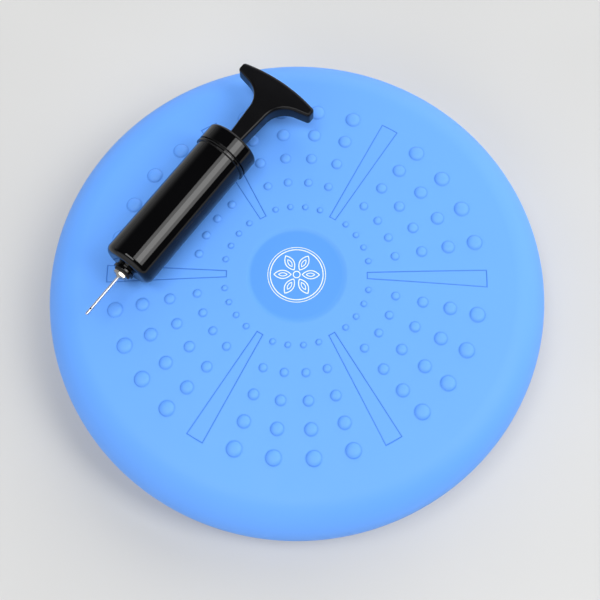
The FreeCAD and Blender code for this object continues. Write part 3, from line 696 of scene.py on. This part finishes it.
class Skin:
    """Rings of points joined into one surface; a ring can have fewer spokes than its neighbour."""

    def __init__(self):
        self.points = []
        self.crease_shade = []
        self.faces = []
        self.last = None

    def add_points(self, x, y, z, crease_shade):
        start = len(self.points)
        self.points += list(zip(x, y, z))
        self.crease_shade += list(crease_shade)
        return list(range(start, len(self.points)))

    def ring(self, radius, angles, z, crease_shade):
        z = np.broadcast_to(z, angles.shape)
        crease_shade = np.broadcast_to(crease_shade, angles.shape)
        ids = self.add_points(radius * np.cos(angles), radius * np.sin(angles), z, crease_shade)
        if self.last is not None:
            self.join(self.last, (ids, angles))
        self.last = (ids, angles)

    def join(self, first, second):
        """Faces between two rings; walks both round together, so their spokes needn't match."""
        (a, a_angles), (b, b_angles) = first, second
        if len(a) == len(b):
            count = len(a)
            self.faces += [(a[i], b[i], b[(i + 1) % count], a[(i + 1) % count]) for i in range(count)]
            return
        i = j = 0
        while i < len(a) or j < len(b):
            next_a = a_angles[i + 1] if i + 1 < len(a) else 2 * math.pi + a_angles[(i + 1) % len(a)]
            next_b = b_angles[j + 1] if j + 1 < len(b) else 2 * math.pi + b_angles[(j + 1) % len(b)]
            if j >= len(b) or (i < len(a) and next_a <= next_b):
                self.faces.append((a[i % len(a)], b[j % len(b)], a[(i + 1) % len(a)]))
                i += 1
            else:
                self.faces.append((a[i % len(a)], b[j % len(b)], b[(j + 1) % len(b)]))
                j += 1

    def pole(self, z):
        """A fan from the last ring to a point on the axis."""
        centre = self.add_points([0.0], [0.0], [z], [0.0])[0]
        ids = self.last[0]
        count = len(ids)
        self.faces += [(ids[i], centre, ids[(i + 1) % count]) for i in range(count)]


def spokes(count):
    return np.arange(count) * 2 * math.pi / count


def all_round(fine):
    sector = np.radians(sector_angles(fine))
    return np.concatenate([sector + math.radians(SECTOR * k) for k in range(SECTORS)])


def rim_rings(skin, angles, start, steps, bulge):
    """Rings over the rim, between the turns start and -start; bulge is how far out the surface stands."""
    for turn in np.linspace(start, -start, steps)[1:-1]:
        reach = RIM + bulge(turn)
        skin.ring(RIM_REACH + reach * math.cos(turn), angles, MIDDLE + reach * math.sin(turn), 0.0)


def rim_bead(turn):
    """The low bead round the middle of the rim."""
    return BEAD_RISE * math.exp(-(turn * RIM / BEAD_WIDTH) ** 2)


def outer_skin():
    """The whole outside, from the middle of the top, over the rim, to the middle of the underside."""
    skin = Skin()
    plain = spokes(OUTER_SPOKES)
    inner = [2.0, 5.0, 8.5, 12.0, 16.0, 20.0, 24.0, 26.5, 28.5]
    edge = list(np.arange(DISC - 1.9, DISC + 2.0, 0.27)) + [34.6, 36.2]
    for radius in inner + edge:
        z, crease_shade = top_surface(np.full_like(plain, radius), plain)
        skin.ring(radius, plain, z, crease_shade)
    fine = all_round(1.0)
    for radius in ring_radii(range(5), 1.0, True):
        z, crease_shade = top_surface(np.full_like(fine, radius), fine)
        skin.ring(radius, fine, z, crease_shade)
    for radius in np.linspace(DOME_EDGE, SHOULDER, 5):
        skin.ring(radius, plain, dome(radius), 0.0)
    start = math.atan2(math.sqrt(CROWN ** 2 - SHOULDER ** 2), SHOULDER)
    rim_rings(skin, plain, start, 64, rim_bead)
    for radius in np.linspace(SHOULDER, DOME_EDGE, 5):
        skin.ring(radius, plain, sole(radius), 0.0)
    coarse = all_round(1.6)
    for radius in ring_radii(SOLE_ROWS, 1.6, False)[::-1]:
        z, crease_shade = under_surface(np.full_like(coarse, radius), coarse)
        skin.ring(radius, coarse, z, crease_shade)
    for radius in (30.0, 20.0, 8.0):
        skin.ring(radius, plain, 0.0, 0.0)
    skin.pole(0.0)
    return skin


def inner_skin():
    """The plain inside of the wall, from the top's middle to the underside's middle."""
    skin = Skin()
    plain = spokes(INNER_SPOKES)
    shoulder = RIM_REACH * (CROWN - WALL) / (CROWN - RIM)
    radii = list(np.linspace(15.0, shoulder, 12))
    for radius in radii:
        skin.ring(radius, plain, inner_dome(radius), 0.0)
    start = math.acos(min(1.0, (shoulder - RIM_REACH) / (RIM - WALL)))
    rim_rings(skin, plain, start, 26, lambda turn: -WALL)
    for radius in radii[::-1]:
        skin.ring(radius, plain, inner_sole(radius), 0.0)
    return skin


def skin_mesh(bm, skin, ends):
    """Adds a skin to bm; ends lists the rings to close with a fan, and the height of each fan's middle."""
    # Each point's painted shade, kept on the mesh for the vinyl's colour
    layer = bm.verts.layers.float["crease_shade"]
    made = [bm.verts.new(Vector(p) * MM) for p in skin.points]
    for vert, crease_shade in zip(made, skin.crease_shade):
        vert[layer] = crease_shade
    for face in skin.faces:
        bm.faces.new([made[i] for i in face])
    for ids, height in ends:
        centre = bm.verts.new((0.0, 0.0, height * MM))
        ring = [made[i] for i in ids]
        for i in range(len(ring)):
            bm.faces.new((ring[i], ring[(i + 1) % len(ring)], centre))


def punch(bm, faces, reach):
    """Takes away faces of the underside near the valve, and returns the edges round the gap."""
    centre = Vector((*VALVE, 0.0)) * MM
    doomed = []
    for face in faces:
        if not face.is_valid:
            continue
        middle = face.calc_center_median()
        if middle.z < MIDDLE * MM * 0.5 and (middle.xy - centre.xy).length < reach * MM:
            doomed.append(face)
    near = {edge for face in doomed for edge in face.edges}
    bmesh.ops.delete(bm, geom=doomed, context="FACES")
    return [edge for edge in near if edge.is_valid and len(edge.link_faces) == 1]


def valve_ring(bm, radius, height):
    """A ring of points round the valve; height is a number or a function of distance from the middle."""
    ring = []
    for k in range(VALVE_SPOKES):
        angle = 2 * math.pi * k / VALVE_SPOKES
        x, y = VALVE[0] + radius * math.cos(angle), VALVE[1] + radius * math.sin(angle)
        z = height(math.hypot(x, y)) if callable(height) else height
        ring.append(bm.verts.new(Vector((x, y, z)) * MM))
    return ring


def loop_edges(bm, ring):
    found = []
    for i, vert in enumerate(ring):
        other = ring[(i + 1) % len(ring)]
        found.append(bm.edges.get((vert, other)) or bm.edges.new((vert, other)))
    return found


def bridge(bm, rings):
    """Faces between each ring of points and the next."""
    for first, second in zip(rings, rings[1:]):
        for i in range(len(first)):
            j = (i + 1) % len(first)
            bm.faces.new((first[i], first[j], second[j], second[i]))


def lip(radius):
    return sole(radius) + VALVE_LIP


def boss_foot(radius):
    return inner_sole(radius) + 0.6


def make_cushion():
    """The inflated envelope: outer skin, inner skin and the boss round the valve's hole."""
    bm = bmesh.new()
    # Each point carries the painted shade that the vinyl mixes into its colour
    bm.verts.layers.float.new("crease_shade")
    skin_mesh(bm, outer_skin(), [(range(OUTER_SPOKES), dome_floor())])
    outer_faces = list(bm.faces)
    inner = inner_skin()
    last = range(len(inner.points) - INNER_SPOKES, len(inner.points))
    skin_mesh(bm, inner, [(range(INNER_SPOKES), inner_dome(0.0)), (last, inner_sole(0.0))])
    inner_faces = list(bm.faces)[len(outer_faces):]
    wall = [(7.4, sole), (6.6, sole), (6.25, lip), (VALVE_HOLE, 3.0), (VALVE_HOLE, BOSS_TOP - 0.2),
            (VALVE_HOLE + 0.2, BOSS_TOP), (BOSS_RADIUS - 0.5, BOSS_TOP), (BOSS_RADIUS, BOSS_TOP - 0.5),
            (BOSS_RADIUS, boss_foot), (BOSS_RADIUS + 0.8, inner_sole)]
    rings = [valve_ring(bm, radius, height) for radius, height in wall]
    gap = punch(bm, outer_faces, 9.4)
    bmesh.ops.bridge_loops(bm, edges=gap + loop_edges(bm, rings[0]))
    bridge(bm, rings)
    gap = punch(bm, inner_faces, 16.0)
    bmesh.ops.bridge_loops(bm, edges=gap + loop_edges(bm, rings[-1]))
    bmesh.ops.recalc_face_normals(bm, faces=bm.faces)
    mesh = bpy.data.meshes.new("cushion_skin")
    bm.to_mesh(mesh)
    bm.free()
    piece = add_object("cushion_skin", mesh, vinyl(), "cushion")
    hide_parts("cushion_envelope")


# Emblem printed on the disc

def ink_row(bm, sides, lift):
    """A pair of points for each of sides, at a height above the disc."""
    return [[bm.verts.new(Vector((p.x, p.y, dome_floor(p.length) + lift)) * MM) for p in pair]
            for pair in sides]


def ribbon(bm, line, width):
    """A flat raised line of ink along a closed line of points."""
    count = len(line)
    sides = []
    for i, here in enumerate(line):
        before = line[i - 1]
        run = (line[(i + 1) % count] - before).normalized()
        mitre = 1.0 / max(0.5, abs((here - before).normalized().dot(run)))
        off = Vector((-run.y, run.x)) * (width / 2 * mitre)
        sides.append((here + off, here - off))
    lows = ink_row(bm, sides, INK_LOW)
    tops = ink_row(bm, sides, INK_HIGH)
    for i in range(count):
        j = (i + 1) % count
        bm.faces.new((tops[i][0], tops[i][1], tops[j][1], tops[j][0]))
        bm.faces.new((lows[i][0], lows[j][0], lows[j][1], lows[i][1]))
        bm.faces.new((lows[i][0], tops[i][0], tops[j][0], lows[j][0]))
        bm.faces.new((lows[i][1], lows[j][1], tops[j][1], tops[i][1]))


def petal(angle, start, end, width, steps=14):
    """Outline of one pointed petal that lies at angle from the disc's middle."""
    along = Vector((math.sin(angle), math.cos(angle)))
    across = Vector((along.y, -along.x))
    side = [(start + (end - start) * k / steps, width / 2 * math.sin(math.pi * k / steps) ** 0.8)
            for k in range(1, steps)]
    line = [(start, 0.0)] + side + [(end, 0.0)] + [(x, -y) for x, y in side[::-1]]
    return [along * x + across * y for x, y in line]


def ring_points(radius, count):
    turns = (2 * math.pi * k / count for k in range(count))
    return [Vector((math.cos(turn), math.sin(turn))) * radius for turn in turns]


def make_emblem():
    """A plain rosette in thin white lines: six petals inside a ring, one for each sector."""
    bm = bmesh.new()
    for radius, count, width in EMBLEM_RINGS:
        ribbon(bm, ring_points(radius, count), width)
    for k in range(SECTORS):
        angle = math.radians(SECTOR / 2 + SECTOR * k)
        for start, end, breadth, width in EMBLEM_PETALS:
            ribbon(bm, petal(angle, start, end, breadth), width)
    mesh = bpy.data.meshes.new("centre_print")
    bm.to_mesh(mesh)
    bm.free()
    outward(mesh)
    ink = Material("white_ink", (0.86, 0.93, 0.95), 0.5)
    ink.vary_colour(300.0, 0.03)
    ink.bump(900.0, 0.05, 0.0001)
    add_object("centre_print", mesh, ink.made, "cushion")
    mesh.shade_flat()


# Pump

def make_barrel(material):
    """The barrel with its nozzle, mouth band and inner housing; a corner is (radius, along, rounding)."""
    profile = rounded([
        (NOZZLE_BORE, NOZZLE_START, 0.3), (FLANGE_RADIUS, NOZZLE_START, 0.6),
        (FLANGE_RADIUS, FLANGE_END, 0.5), (NECK_RADIUS, NECK_START, 0.3), (NECK_RADIUS, BARREL_START, 0.5),
        (BARREL_RADIUS, BARREL_START, 4.6), (BARREL_RADIUS, BAND_START, 0.25),
        (BAND_RADIUS, BAND_START, 0.5), (BAND_RADIUS, BAND_END, 0.5), (MOUTH_RADIUS, BAND_END, 0.15),
        (MOUTH_RADIUS, BARREL_END, 0.3), (BARREL_BORE, BARREL_END, 0.3), (BARREL_BORE, BARREL_FLOOR, 0.4),
        (HOUSING_RADIUS, BARREL_FLOOR, 0.3), (HOUSING_RADIUS, HOUSING_END, 0.3),
        (PORT_RADIUS, HOUSING_END, 0.2), (PORT_RADIUS, CHAMBER_ROOF, 0.1),
        (CHAMBER_RADIUS, CHAMBER_ROOF, 0.1), (CHAMBER_RADIUS, CHAMBER_START, 0.1),
        (NOZZLE_BORE, CHAMBER_START, 0.1)])
    mesh = lathe("barrel_shell", profile)
    piece = add_object("barrel_shell", mesh, material, "pump")
    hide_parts("pump_barrel")


def make_collar(material):
    profile = rounded([
        (COLLAR_BORE, COLLAR_START, 0.2), (COLLAR_RADIUS, COLLAR_START, 0.4),
        (COLLAR_RADIUS, COLLAR_END, 1.8), (COLLAR_HOLE, COLLAR_END, 0.5),
        (COLLAR_HOLE, COLLAR_ROOF, 0.2), (COLLAR_BORE, COLLAR_ROOF, 0.3)])
    mesh = lathe("collar_shell", profile)
    piece = add_object("collar_shell", mesh, material, "pump")
    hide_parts("barrel_collar")


def straight(start, end, steps):
    """Points from start towards end, without end itself."""
    return [(start[0] + (end[0] - start[0]) * k / steps, start[1] + (end[1] - start[1]) * k / steps)
            for k in range(steps)]


def arc(centre, radius, start, end, steps):
    """Points of an arc, with both its ends."""
    turns = [start + (end - start) * k / steps for k in range(steps + 1)]
    return [(centre[0] + radius * math.cos(turn), centre[1] + radius * math.sin(turn)) for turn in turns]


def handle_outline():
    """Right half of the T, from its foot to the middle of its top, as (across, along) points."""
    quarter = math.pi / 2
    neck_x = HANDLE_NECK + HANDLE_FLARE * (1 - math.cos(HANDLE_LEAN))
    neck_y = FLARE_START + HANDLE_FLARE * math.sin(HANDLE_LEAN)
    foot = (neck_x - (neck_y - HANDLE_START) * math.tan(HANDLE_LEAN), HANDLE_START)
    neck = straight(foot, (neck_x, neck_y), 12)
    flare = arc((HANDLE_NECK + HANDLE_FLARE, FLARE_START), HANDLE_FLARE, math.pi - HANDLE_LEAN,
                quarter + HANDLE_SLOPE, 24)
    flare_x, flare_y = flare[-1]
    arm_x = HANDLE_SPAN - ARM_LOW_ROUND * (1 - math.sin(HANDLE_SLOPE))
    arm_y = flare_y + (arm_x - flare_x) * math.tan(HANDLE_SLOPE)
    arm = straight(flare[-1], (arm_x, arm_y), 8)[1:]
    low_centre = (HANDLE_SPAN - ARM_LOW_ROUND, arm_y + ARM_LOW_ROUND * math.cos(HANDLE_SLOPE))
    low_round = arc(low_centre, ARM_LOW_ROUND, HANDLE_SLOPE - quarter, 0.0, 12)
    reach = HANDLE_SPAN - ARM_HIGH_ROUND
    rise = math.sqrt((HANDLE_CROWN - ARM_HIGH_ROUND) ** 2 - reach ** 2)
    lift = math.atan2(rise, reach)
    middle = HANDLE_END - HANDLE_CROWN
    high_round = arc((reach, middle + rise), ARM_HIGH_ROUND, 0.0, lift, 12)
    top = arc((0.0, middle), HANDLE_CROWN, lift, quarter, 24)[1:]
    return neck + flare + arm + low_round + high_round + top


def make_handle(material):
    """The T handle: its outline is drawn in step by step towards each flat face, which rounds the edges."""
    half = handle_outline()
    points = [Vector(p) for p in half] + [Vector((-x, y)) for x, y in half[-2::-1]]
    count = len(points)
    normals = []
    for i in range(count):
        run = (points[(i + 1) % count] - points[i - 1]).normalized()
        normals.append(Vector((-run.y, run.x)))
    steps = 10
    levels = []
    for k in range(steps + 1):
        turn = math.pi / 2 * k / steps
        height = HANDLE_THICKNESS / 2 - HANDLE_EDGE + HANDLE_EDGE * math.sin(turn)
        levels.append((HANDLE_EDGE * (1 - math.cos(turn)), height))
    levels.append((HANDLE_EDGE + 0.15, HANDLE_THICKNESS / 2))
    heights = [(drawn, -height) for drawn, height in levels[::-1]] + levels
    bm = bmesh.new()
    rings = []
    for drawn, height in heights:
        ring = [points[i] + normals[i] * drawn for i in range(count)]
        rings.append([bm.verts.new(on_pump(p.x, height, p.y)) for p in ring])
    bridge(bm, rings)
    for ring in (rings[0], rings[-1]):
        bm.faces.new(ring)
    foot = on_pump(0.0, 0.0, HANDLE_FOOT)
    cut = bmesh.ops.bisect_plane(bm, geom=bm.verts[:] + bm.edges[:] + bm.faces[:], plane_co=foot,
                                 plane_no=-ALONG, clear_outer=True)
    rim = [item for item in cut["geom_cut"] if isinstance(item, bmesh.types.BMEdge)]
    bmesh.ops.holes_fill(bm, edges=rim)
    bmesh.ops.recalc_face_normals(bm, faces=bm.faces)
    bmesh.ops.triangulate(bm, faces=[face for face in bm.faces if len(face.verts) > 4])
    mesh = bpy.data.meshes.new("handle_shell")
    bm.to_mesh(mesh)
    bm.free()
    piece = add_object("handle_shell", mesh, material, "plunger")
    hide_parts("t_handle")


# CAD nodes

def make_spring():
    """The outlet spring, as its own copy of the CAD mesh, riding on the pump."""
    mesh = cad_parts["outlet_spring"].data.copy()
    mesh.name = "spring_coil"
    mesh.materials.clear()
    wire = metal("drawn_wire", (0.55, 0.55, 0.56), 0.32)
    piece = add_object("spring_coil", mesh, wire, "pump")
    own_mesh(piece)
    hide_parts("outlet_spring")


def finish_nodes(gloss, satin):
    """A finish for every CAD node, the replaced ones included."""
    grey = plain_plastic("grey_plastic", (0.055, 0.055, 0.058), 0.45)
    seal = rubber("black_rubber", (0.014, 0.014, 0.015))
    steel = metal("needle_steel", (0.66, 0.67, 0.70), 0.3, bore=on_pump(0.0, 0.0, NEEDLE_EYE))
    plate = metal("nickel_plate", (0.42, 0.40, 0.36), 0.26)
    wire = metal("spring_steel", (0.5, 0.5, 0.5), 0.3)
    blue = plain_plastic("valve_plastic", (0.06, 0.21, 0.62), 0.4)
    finishes = {
        "valve_socket": blue, "valve_core": seal, "rod_guide": grey, "spring_retainer": grey,
        "outlet_spring": wire, "outlet_valve": seal, "plunger_rod": grey, "piston_head": grey,
        "piston_seal": seal, "piston_screw": steel, "bumper_ring": seal, "needle_gasket": seal,
        "needle_base": plate, "needle_tube": steel, "cushion_envelope": grey, "pump_barrel": gloss,
        "barrel_collar": gloss, "t_handle": satin,
    }
    for name, finish in finishes.items():
        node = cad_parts[name]
        if not node.material_slots:
            node.data.materials.append(finish)
        for held in node.material_slots:
            held.material = finish


make_camera()
make_light()
make_floor()
make_cushion()
make_emblem()
gloss = black_gloss()
satin = black_satin()
make_barrel(gloss)
make_collar(gloss)
make_handle(satin)
make_spring()
finish_nodes(gloss, satin)
